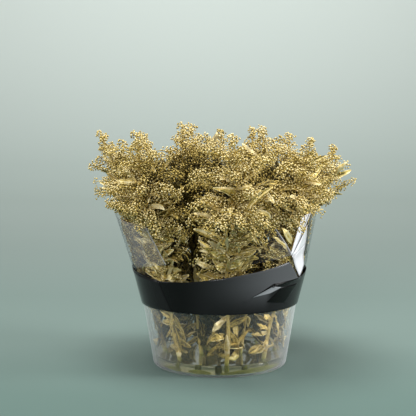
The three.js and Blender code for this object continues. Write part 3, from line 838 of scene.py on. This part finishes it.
def addRacemeRow(surfaces, stem, kind, rng):
    # odd and even ones take turns in sides and leaves
    count = kind["count"][stem.ring]
    for n in range(count):
        root = between(*kind["roots"], n / count) + rng.uniform(0, 8)
        aside = between(*kind["aside"], (n * kind["step"] + kind["shift"]) % 1)
        azimuth = stem.azimuth + kind["turn"] + kind["sides"][n % 2] * aside
        path, gone = shootPath(stem, root, azimuth, rng.uniform(*kind["length"]),
                               rng.uniform(*kind["rise"]), rng.uniform(*kind["endRise"]), 5.0,
                               kind["points"])
        addRaceme(surfaces, stem.own, path, gone, kind["radius"], rng,
                  leaves=kind["leaves"][n % 2], taper=kind["taper"])


overhang = {"count": 8, "firstRoot": 4, "rootStep": 4.5, "length": (46, 64), "hang": 2.0,
            "frontHalf": 1.0, "radius": 12.0}


def addOverhang(surfaces, stem, rng):
    # racemes that lean out over the sleeve's rim in front and droop
    if stem.ring == 0 or abs(stem.azimuth) > overhang["frontHalf"]:
        return
    for n in range(overhang["count"]):
        root = filmTopAt(stem.azimuth) + overhang["firstRoot"] + overhang["rootStep"] * n
        aside = (1 if n % 2 else -1) * (0.3 + 0.26 * ((n * 3) % 4)) + rng.uniform(-0.1, 0.1)
        length = rng.uniform(*overhang["length"]) * (1 + 0.35 * abs(aside))
        path, gone = shootPath(stem, root, stem.azimuth + aside, length,
                               rng.uniform(-0.1, 0.4), rng.uniform(-1.0, -0.3), 5.0, 16,
                               overhang["hang"])
        addRaceme(surfaces, stem.own, path, gone, overhang["radius"], rng, leaves=2)


openTip = {"count": 8, "below": 42, "rootStep": 5.0, "length": (17, 6), "radius": 3.6}


def addTip(surfaces, stem, rng):
    # the open top of a sprig: thin twigs, each with a small head of florets at its end
    for n in range(openTip["count"]):
        root = stem.height - openTip["below"] + openTip["rootStep"] * n
        azimuth = n * goldenAngle + rng.uniform(0, 1)
        length = between(*openTip["length"], n / (openTip["count"] - 1)) * rng.uniform(0.8, 1.2)
        path, gone = shootPath(stem, root, azimuth, length, rng.uniform(0.7, 1.1), 0.2, 2.0, 8)
        addRaceme(surfaces, stem.own, path, gone, openTip["radius"], rng, first=0.45)


extraLeaves = {"rows": ((13, 112, 190), (14, 190, 275)), "length": (32, 62), "width": (5.5, 9.5)}


def addExtraLeaves(surfaces, stem, rng):
    # smaller leaves between the main ones: each row is a count and the heights it lies between
    for count, lowest, highest in extraLeaves["rows"]:
        for n in range(count):
            root = between(lowest, highest, (n + rng.uniform(0.1, 0.9)) / count)
            azimuth = stem.azimuth + n * goldenAngle + rng.uniform(-0.3, 0.3) + 2.2
            width = rng.uniform(*extraLeaves["width"])
            path, _ = shootPath(stem, root, azimuth, rng.uniform(*extraLeaves["length"]),
                                rng.uniform(0.3, 1.2), rng.uniform(-1.2, 1.0), width / 2, 12)
            addLeaf(surfaces, stem.own, path, width, rng, path[0, 2], rng.uniform(0.4, 0.95))


# Broad dry leaves: out is how far their ends lie from the stem, rise how much higher, within
# floor and roof, and aside how far they turn from the bunch's outside.
tubLeaves = {"count": (10, 25), "roots": (28, 112), "out": (14, 42), "rise": (-58, 30),
             "floor": 30.0, "roof": 114.0, "width": (7, 12), "tone": (0.0, 0.66),
             "aside": (1.2, 2.7)}
filmLeaves = {"count": (4, 32), "roots": (128, 218), "out": (30, 74), "rise": (-4, 40),
              "floor": 112.0, "roof": 232.0, "width": (8, 13), "tone": (0.45, 1.0),
              "aside": (0.3, 1.9)}
headLeaves = {"count": (0, 11), "roots": (246, 304), "out": (26, 50), "rise": (-6, 34),
              "floor": 252.0, "roof": 332.0, "width": (7, 11), "tone": (0.45, 1.0),
              "aside": (0.2, 1.7)}


def addStraightLeaves(surfaces, stem, kind, rng):
    # each runs nearly straight from the stem to an end beside it, and faces outwards
    for n in range(kind["count"][stem.ring]):
        start = stem.at(between(*kind["roots"], (n * goldenLong) % 1))[0]
        turn = stem.azimuth + (1 if n % 2 else -1) * rng.uniform(*kind["aside"])
        width = rng.uniform(*kind["width"])
        height = np.clip(start[2] + rng.uniform(*kind["rise"]), kind["floor"], kind["roof"])
        end = start + ringPoint(rng.uniform(*kind["out"]), turn, height - start[2])
        end = bentClear(stem.own, end[None], width / 2)[0]
        t = np.linspace(0, 1, 12)[:, None]
        bow = rng.normal(0, 0.07, 3) * np.linalg.norm(end - start)
        path = between(start, end, t) + bow * np.sin(math.pi * t)
        facing = outwards(start) + [0.0, 0.0, 0.25] + rng.normal(0, 0.35, 3)
        tone = between(*kind["tone"], rng.uniform() ** 1.3)
        addLeaf(surfaces, stem.own, path, width, rng, path[0, 2], tone, 0.2, 12, facing)


coreLeaves = {"count": 84, "lowest": 24, "below": 92, "length": (40, 72), "width": (9, 13),
              "halfTurn": 1.35, "tubHeight": 125}


def addCoreLeaves(surfaces, stem, rng):
    # Leaves close along the stem, in the shade of the flowers, given the darkest tone as painted
    # shade. In the tub, and on the outer sprigs all the way up, they point to the bunch's middle.
    for n in range(coreLeaves["count"]):
        root = between(coreLeaves["lowest"], stem.height - coreLeaves["below"],
                       (n + rng.uniform(0, 1)) / coreLeaves["count"])
        width = rng.uniform(*coreLeaves["width"])
        azimuth = n * goldenAngle
        if stem.ring == 1 or root < coreLeaves["tubHeight"]:
            half = coreLeaves["halfTurn"]
            azimuth = stem.azimuth + math.pi + rng.uniform(-half, half)
        path, _ = shootPath(stem, root, azimuth, rng.uniform(*coreLeaves["length"]),
                            rng.uniform(0.7, 1.35), rng.uniform(0.4, 1.5), width / 2, 6)
        # tone 0, the darkest: painted shade
        addLeaf(surfaces, stem.own, path, width, rng, path[0, 2], 0.0, corners=6)


def makeSprig(own):
    stem = Stem(own)
    rng = np.random.default_rng(500 + own)
    surfaces = Surfaces()
    addStem(surfaces, stem)
    for root, azimuth, length, rise, endRise, radius in racemesOf(stem):
        path, gone = shootPath(stem, root, azimuth, length, rise, endRise, radius * 0.7, 24)
        addRaceme(surfaces, own, path, gone, radius, rng)
        addSideShoot(surfaces, stem, path, azimuth, rise, rng)
        bractPath, _ = shootPath(stem, root - 2, azimuth + 0.25, rng.uniform(14, 30), rise + 0.1,
                                 rise - 1.0, 2.0, 9)
        addLeaf(surfaces, own, bractPath, rng.uniform(3.0, 5.0), rng, path[0, 2],
                rng.uniform(0.35, 0.9))
    addFilling(surfaces, stem, rng)
    addRacemeRow(surfaces, stem, lowRacemes, rng)
    addRacemeRow(surfaces, stem, betweenRacemes, rng)
    addOverhang(surfaces, stem, rng)
    addTip(surfaces, stem, rng)
    for root, azimuth, length, rise, endRise, width in leavesOf(stem):
        path, _ = shootPath(stem, root, azimuth, length, rise, endRise, width / 2, 16)
        addLeaf(surfaces, own, path, 0.85 * width, rng, path[0, 2], rng.uniform(0.5, 0.95))
    addStraightLeaves(surfaces, stem, tubLeaves, rng)
    addStraightLeaves(surfaces, stem, filmLeaves, rng)
    addExtraLeaves(surfaces, stem, rng)
    addCoreLeaves(surfaces, stem, rng)
    addRacemeRow(surfaces, stem, innerRacemes, rng)
    addStraightLeaves(surfaces, stem, headLeaves, rng)
    name = "goldenrod_%02d" % (own + 1)
    addPiece("sprig_%02d" % (own + 1), surfaces.mesh(name), goldPaint, "gold_plant", name)


for own in range(len(sprigs)):
    makeSprig(own)
print("sprigs made")


# Leaves that fell into the water, on edge along the front wall

fallenLeaf = {"radius": 98.6, "bow": 0.8, "wave": 0.45, "thickness": 0.25}


def makeFallenLeaf(name, start, end, width, lift, material, slot, seed):
    # A lens of an outline carried along the wall from start to end, in degrees: across it lies
    # up and down, lift is how much its end is raised, and it bows in from the wall and waves.
    rng = np.random.default_rng(seed)
    t = np.linspace(0, 1, 26)[:, None]
    x, skin = circle(12).T[:, None]
    half = width / 2 * np.sin(math.pi * np.clip(t * 0.88 + 0.07, 0, 1)) ** 0.8
    wave = fallenLeaf["wave"] * x ** 2 * np.sin(5 * math.pi * t + rng.uniform(0, 6))
    out = wave + skin * fallenLeaf["thickness"]
    radius = fallenLeaf["radius"] - fallenLeaf["bow"] * np.sin(math.pi * t) + out
    lowest = tub["floor"] + bunch["clearance"]
    height = np.maximum(lowest, lowest + width / 2 + lift * (t - 0.5) + x * half)
    grid = ringPoint(radius, np.radians(between(start, end, t)), height)[None]
    surfaces = Surfaces()
    surfaces.add(grid[:, :, ::-1], 0.6)
    addPiece(name + "_blade", surfaces.mesh(name), material, slot, name)


makeFallenLeaf("fallen_leaf_green", 0, 64, 9.0, 3.5, greenLeaf, "green_leaf", 31)
makeFallenLeaf("fallen_leaf_left", -58, -36, 8.0, 1.5, goldPaint, "gold_plant", 32)
makeFallenLeaf("fallen_leaf_middle", -29, -8, 8.0, -1.0, goldPaint, "gold_plant", 33)


# Tub and water, turned from profiles

def turned(name, profile, segments=120):
    # a profile (radius, height) carried round the axis; its two ends lie on the axis
    radius, height = np.array(profile, float).T
    turn = np.arange(segments) / segments * 2 * math.pi
    ring = slice(1, -1)
    grid = ringPoint(radius[ring, None], turn[None], height[ring, None])
    n, m = grid.shape[:2]
    index = np.arange(n * m).reshape(n, m)
    ends = n * m + np.array([[0], [1]]) * np.ones((1, m), int)
    first = np.stack([ends[0], np.roll(index[0], -1), index[0]], -1)
    last = np.stack([ends[1], index[-1], np.roll(index[-1], -1)], -1)
    points = np.concatenate([grid.reshape(-1, 3), [[0, 0, height[0]], [0, 0, height[-1]]]])
    return makeMesh(name, points, [ringQuads(index[:-1], index[1:]),
                                   np.concatenate([first, last])])


def tubRadius(height):
    return tub["baseRadius"] + tub["slope"] * height


def arc(centre, radius, start, end, count):  # points of a round corner, in degrees
    turn = np.radians(np.linspace(start, end, count))
    return [(centre[0] + radius * math.cos(a), centre[1] + radius * math.sin(a)) for a in turn]


def makeTub():
    # the profile goes out under the foot, up the outside to the lip, and down the inside
    height, corner, wall = tub["height"], tub["corner"], tub["wall"]
    foot = tubRadius(corner) - corner
    outer = [(0, 0.7), (foot - 14, 0.7), (foot - 9, 0.0), (foot, 0.0)]
    outer += arc((foot, corner), corner, -80, -10, 7)
    outer += [(tubRadius(z), z) for z in np.linspace(corner + 2, height - 4, 14)]
    lip = tubRadius(height) + tub["lip"]
    outer += [(lip - 0.3, height - 2.2), (lip, height - 1.2), (lip - 0.3, height)]
    inner = [(tubRadius(height) - wall, height - 0.2)]
    inner += [(tubRadius(z) - wall, z) for z in np.linspace(height - 4, corner + 3, 12)]
    inner += arc((foot - wall + 0.6, corner + 1.9), corner - 0.6, -8, -82, 6)
    inner += [(foot - 4, tub["floor"]), (0, tub["floor"] + 0.3)]
    addPiece("clear_tub", turned("tub", outer + inner), tubPlastic, "clear_plastic", "tub")


def makeWater():
    # a disc that creeps a little up the wall at its edge
    top, low = bunch["waterTop"], tub["floor"] + bunch["clearance"] + 0.1
    edge = tubRadius(top) - tub["wall"] - 0.25
    foot = tubRadius(tub["corner"]) - tub["corner"] - tub["wall"]
    profile = [(0, low), (foot - 3, low)]
    profile += arc((foot + 0.2, tub["corner"] + 2.2), tub["corner"] - 0.9, -78, -10, 6)
    profile += [(tubRadius(z) - tub["wall"] - 0.25, z) for z in (10.5, 15.0, top)]
    profile += [(edge - 0.3, top - 0.05), (edge - 1.2, top - 0.7), (edge - 3.0, top - 1.1),
                (0, top - 1.2)]
    addPiece("still_water", turned("water", profile), waterClear, "water", "water")


makeTub()
makeWater()
print("tub and water made")


# Film sleeve and band: thin shells on the cone

def addShell(surfaces, radiusAt, thickness, bottom, topAt, azimuth, rows, paintedLightAt):
    # radius = radiusAt(height, azimuth), up the outside and down the inside of each column
    t = np.linspace(0, 1, rows)[:, None]
    height = between(bottom, topAt(azimuth[None]), t)
    place = np.broadcast_to(azimuth[None], height.shape)
    radius = radiusAt(height, place)
    grid = np.concatenate([ringPoint(radius + thickness, place, height),
                           ringPoint(radius, place, height)[::-1]])
    shade = paintedLightAt(height, place)
    n, m = grid.shape[:2]
    index = surfaces.count + np.arange(n * m).reshape(n, m)
    surfaces.put(grid, np.concatenate([shade, shade[::-1]]),
                 ringQuads(index, np.roll(index, -1, 0)))


def addPatch(surfaces, radiusAt, offset, thickness, corners, tone, across=6, along=14):
    # A thin flap on the cone between four corners (degrees, height), bottom left first and then
    # to the right and round: each point is the mean of the corners, weighted by u and v.
    # tone is a number, or a function of height and azimuth.
    (a0, h0), (a1, h1), (a2, h2), (a3, h3) = corners
    u, v = np.meshgrid(np.linspace(0, 1, across), np.linspace(0, 1, along))
    azimuth = np.radians(between(between(a0, a1, u), between(a3, a2, u), v))
    height = between(between(h0, h1, u), between(h3, h2, u), v)
    radius = radiusAt(height, azimuth) + offset
    outer = ringPoint(radius + thickness, azimuth, height)
    inner = ringPoint(radius, azimuth, height)[:, ::-1]
    shade = tone(height, azimuth) if callable(tone) else np.full(height.shape, tone)
    surfaces.add(np.concatenate([inner, outer], 1)[None, :, ::-1],
                 np.concatenate([shade[:, ::-1], shade], 1)[:, ::-1])


# the whiteness of each flap is a painted highlight on the folded film, and below 0 a painted dark
# streak
folds = {  # flaps of the folded sleeve: corners (degrees, height), white or, below 0, dark
    "upperFacet": (((48, 186), (73, 200), (60, 232), (55, 214)), 0.97),
    "lowerFacet": (((64, 149), (75, 165), (73, 200), (48, 186)), 0.90),
    "strip": (((46.3, 188), (48.6, 189), (58, 250), (50.5, 246)), 0.92),
    "secondStrip": (((49.5, 196), (52, 207), (60.5, 250), (59, 250)), 0.7),
    "gap": (((49.0, 190), (49.8, 196), (59.0, 250), (58, 250)), -0.5),
    "darkWedge": (((76, 178), (82, 180), (67, 252), (61, 244)), -0.65),
    "endEdge": (((47.6, 187), (48.6, 187), (30.6, 234), (29.8, 234)), 0.22),
    "leftFlapEdge": (((-35, 176), (-34, 176), (-44, 233), (-45, 233)), 0.16),
}
looseFilm = {  # the film's free end, a second layer in front, and the flap at the left
    "end": ((4, 176), (48, 188), (30, 233), (4, 224)),
    "leftFlap": ((-94, 150), (-34.5, 176), (-44.5, 233), (-96, 244)),
}


def makeSleeve():
    def topAt(azimuth):
        return filmTopAt(azimuth) + 1.2 * np.sin(7 * azimuth) + 0.8 * np.sin(13 * azimuth + 1)

    def paintedSheenAt(height, azimuth):  # a faint grey painted sheen on the left
        degrees = np.degrees(azimuth)
        left = smooth((-30 - degrees) / 30) * smooth((degrees + 95) / 14)
        return 0.01 * left * smooth((232 - height) / 20)

    def endSheenAt(height, azimuth):  # a painted sheen that fades out to the left
        return 0.05 * smooth((np.degrees(azimuth) - 4) / 40)

    def flapSheenAt(height, azimuth):  # a painted sheen that fades out to the left and below
        return 0.09 * smooth((np.degrees(azimuth) + 92) / 30) * smooth((height - 150) / 18)

    surfaces = Surfaces()
    azimuth = np.arange(180) / 180 * 2 * math.pi - math.pi
    addShell(surfaces, lambda h, a: filmRadius(h, a) + 0.2, sleeve["thickness"],
             sleeve["bottom"] + 0.2, topAt, azimuth, 22, paintedSheenAt)
    for corners, paintedLight in folds.values():
        addPatch(surfaces, filmRadius, 0.7, sleeve["thickness"], corners, paintedLight)
    addPatch(surfaces, filmRadius, 0.6, 0.1, looseFilm["end"], endSheenAt, 16, 12)
    addPatch(surfaces, filmRadius, 0.7, sleeve["thickness"], looseFilm["leftFlap"], flapSheenAt, 16, 12)
    addPiece("film", surfaces.mesh("film_sleeve"), filmPlastic, "clear_film", "film_sleeve")


def distanceToLine(height, azimuth, line):
    # the distance in mm of each point from a line of (degrees, height) points on the cone
    reach = coneRadius(height, azimuth)
    best = np.full(height.shape, 1e9)
    for (a0, h0), (a1, h1) in zip(line[:-1], line[1:]):
        dx, dy = np.radians(a1 - a0) * reach, h1 - h0
        px, py = (azimuth - np.radians(a0)) * reach, height - h0
        t = np.clip((px * dx + py * dy) / (dx ** 2 + dy ** 2), 0, 1)
        best = np.minimum(best, np.hypot(px - t * dx, py - t * dy))
    return best


band = {"bottom": 101.5, "overCone": 0.6, "gap": 0.5, "thickness": 0.4,
        "topAzimuths": (-180, -90, -61, -42, -22, 0, 27, 46, 60, 85, 180),
        "topHeights": (160, 158, 155, 149, 151, 158.5, 169, 178, 149, 156, 160),
        "seam": ((-43, 149), (-36, 101.5)), "crease": ((16, 122), (20, 128), (34, 142), (63, 149)),
        "creaseHeight": 1.1, "creaseWidth": 2.2, "lapStart": (-104, 157.6)}
# the grey lens is a painted reflection, and the dark flaps along and below the crease are painted
# shade
bandFlaps = {  # flaps of folded black film: corners (degrees, height), how grey
    "lens": (((20.5, 127.5), (34, 132), (43, 139), (35, 142.5)), 0.9),
    "creaseLow": (((20, 126.8), (21, 128.2), (35, 146.5), (35, 142.5)), 0.0),
    "creaseHigh": (((34, 140.5), (48, 141.5), (66, 149.5), (35, 146.5)), 0.0),
    "below": (((32, 118), (50, 112), (62, 140), (43, 139)), 0.0),
}


def makeBand():
    def topAt(azimuth):
        return np.interp(np.degrees(azimuth), band["topAzimuths"], band["topHeights"])

    def radiusAt(height, azimuth):  # the cone, with a ridge along the crease
        away = distanceToLine(height, azimuth, band["crease"]) / band["creaseWidth"]
        ridge = np.exp(-away ** 2)
        return (coneRadius(height, azimuth) + band["overCone"] + band["gap"]
                + band["creaseHeight"] * ridge)

    # painted reflection greys the band towards the upper right, and painted shade darkens it beyond
    # the crease
    def paintedLightAt(height, azimuth):  # greyer towards the upper right, dark beyond the crease
        degrees = np.degrees(azimuth)
        crease = np.interp(degrees, (20, 35, 66), (128, 146, 149.5))
        upper = smooth((degrees + 20) / 60) * smooth((height - 100) / 50)
        below = smooth((degrees - 30) / 6) * smooth((crease - height) / 3)
        front = smooth((degrees + 28) / 20) * smooth((66 - degrees) / 4)
        return np.clip(0.25 * upper * (1 - below) * (degrees < 66) + 0.01 + 0.025 * front, 0, 1)

    surfaces = Surfaces()
    azimuth = np.radians(np.concatenate([np.arange(-180, 10, 2.5), np.arange(10, 70, 0.8),
                                         np.arange(70, 180, 2.5)]))
    addShell(surfaces, radiusAt, band["thickness"], band["bottom"], topAt, azimuth, 22, paintedLightAt)
    # the band's end, lapped over its start and ending at the seam
    (seamTop, topHeight), (seamFoot, footHeight) = band["seam"]
    lap = ((band["lapStart"][0], footHeight), (seamFoot, footHeight), (seamTop, topHeight - 0.4),
           band["lapStart"])
    addPatch(surfaces, coneRadius, band["overCone"] + band["gap"] + band["thickness"] + 0.05,
             0.35, lap, 0.03, 40, 14)
    for corners, tone in bandFlaps.values():
        addPatch(surfaces, radiusAt, band["thickness"] + 0.05, 0.15, corners, tone, 14, 10)
    addPiece("band", surfaces.mesh("black_band"), bandPlastic, "black_film", "black_band")


makeSleeve()
makeBand()
print("film and band made")


# Studio: a pale sweep and soft lights

paper = {  # metres: where the floor starts, where it bends up, and tones of painted light along it at y
    "front": -2.6, "bend": 3.2, "bendRadius": 1.5, "halfWidth": 6,
    "dark": (0.030, 0.090, 0.072, 1), "pale": (0.65, 0.71, 0.672, 1), "paler": 0.193,
    "range": (-1.2, 4.8),
    "tones": ((-1.2, 0.0), (-0.2, 0.103), (0.12, 0.183), (0.6, 0.216), (1.2, 0.322),
              (1.8, 0.412), (2.3, 0.463), (2.8, 0.496), (3.3, 0.519), (3.85, 0.553),
              (4.35, 0.651), (4.7, 0.735))}


def paperMaterial():
    # painted light: the paper pales towards the back and the top; share = tone at y + 0.193 z, in
    # metres
    material, tree, shader, _ = newMaterial("paper")
    split = addNode(tree, "ShaderNodeSeparateXYZ", {0: placeOf(tree)})
    low, high = paper["range"]
    tones = addNode(tree, "ShaderNodeValToRGB", {0: mapped(tree, split.outputs["Y"], low, high)})
    ramp = tones.color_ramp
    for number, (y, tone) in enumerate(paper["tones"]):
        stop = ramp.elements[number] if number < 2 else ramp.elements.new(1.0)
        stop.position, stop.color = (y - low) / (high - low), (tone, tone, tone, 1)
    share = maths(tree, "MULTIPLY_ADD", split.outputs["Z"], paper["paler"], tones.outputs[0])
    colour = colourMix(tree, share, paper["dark"], paper["pale"])
    feedAll(tree, shader, {"Base Color": colour, "Roughness": 0.9})
    return material


def makeSweep():
    # a floor that turns up into a wall: a profile (distance back, height) carried sideways
    turn = np.linspace(0.1, 1.57, 14)
    bend, radius = paper["bend"], paper["bendRadius"]
    back = np.concatenate([np.linspace(paper["front"], bend, 12), bend + radius * np.sin(turn),
                           [bend + radius, bend + radius]])
    up = np.concatenate([np.zeros(12), radius - radius * np.cos(turn), [3.0, 6.0]])
    across = np.linspace(-paper["halfWidth"], paper["halfWidth"], 9)
    grid = np.stack(np.broadcast_arrays(across[None], back[:, None], up[:, None] - 0.0002), -1)
    n, m = grid.shape[:2]
    index = np.arange(n * m).reshape(n, m)
    quads = np.stack([index[:-1, :-1], index[:-1, 1:], index[1:, 1:], index[1:, :-1]], -1)
    mesh = makeMesh("sweep", grid.reshape(-1, 3) * 1000, [quads.reshape(-1, 4)])
    mesh.materials.append(paperMaterial())
    sweep = bpy.data.objects.new("sweep", mesh)
    scene.collection.objects.link(sweep)


def addLight(name, place, target, size, power):
    # a soft box that faces its target
    lamp = bpy.data.lights.new(name, "AREA")
    lamp.shape, lamp.size, lamp.size_y = "RECTANGLE", size[0], size[1]
    lamp.energy = power
    light = bpy.data.objects.new(name, lamp)
    light.location = place
    direction = np.array(target) - np.array(place)
    flat = math.hypot(direction[0], direction[1])
    light.rotation_euler = (math.pi / 2 - math.atan2(-direction[2], flat), 0,
                            math.atan2(-direction[0], direction[1]))
    scene.collection.objects.link(light)


makeSweep()
addLight("topLight", (-0.19, -0.25, 2.0), (0, 0, 0.25), (1.1, 0.8), 40.5)
addLight("leftBox", (-1.9, -0.3, 0.8), (0, 0, 0.2), (0.5, 1.2), 10)
addLight("rightBox", (1.8, -0.4, 0.8), (0, 0, 0.2), (0.6, 1.3), 38)
addLight("frontFill", (-0.6, -3.0, 1.2), (0, 0, 0.2), (0.9, 0.8), 46)
addLight("wallLight", (0, 2.2, 3.2), (0, 4.7, 1.4), (4.0, 1.0), 90)
scene.world = bpy.data.worlds.new("world")
scene.world.use_nodes = True
skyTree = scene.world.node_tree
feedAll(skyTree, skyTree.nodes["Background"], {"Color": (0.85, 0.87, 0.86, 1), "Strength": 0.3})
print("studio made")
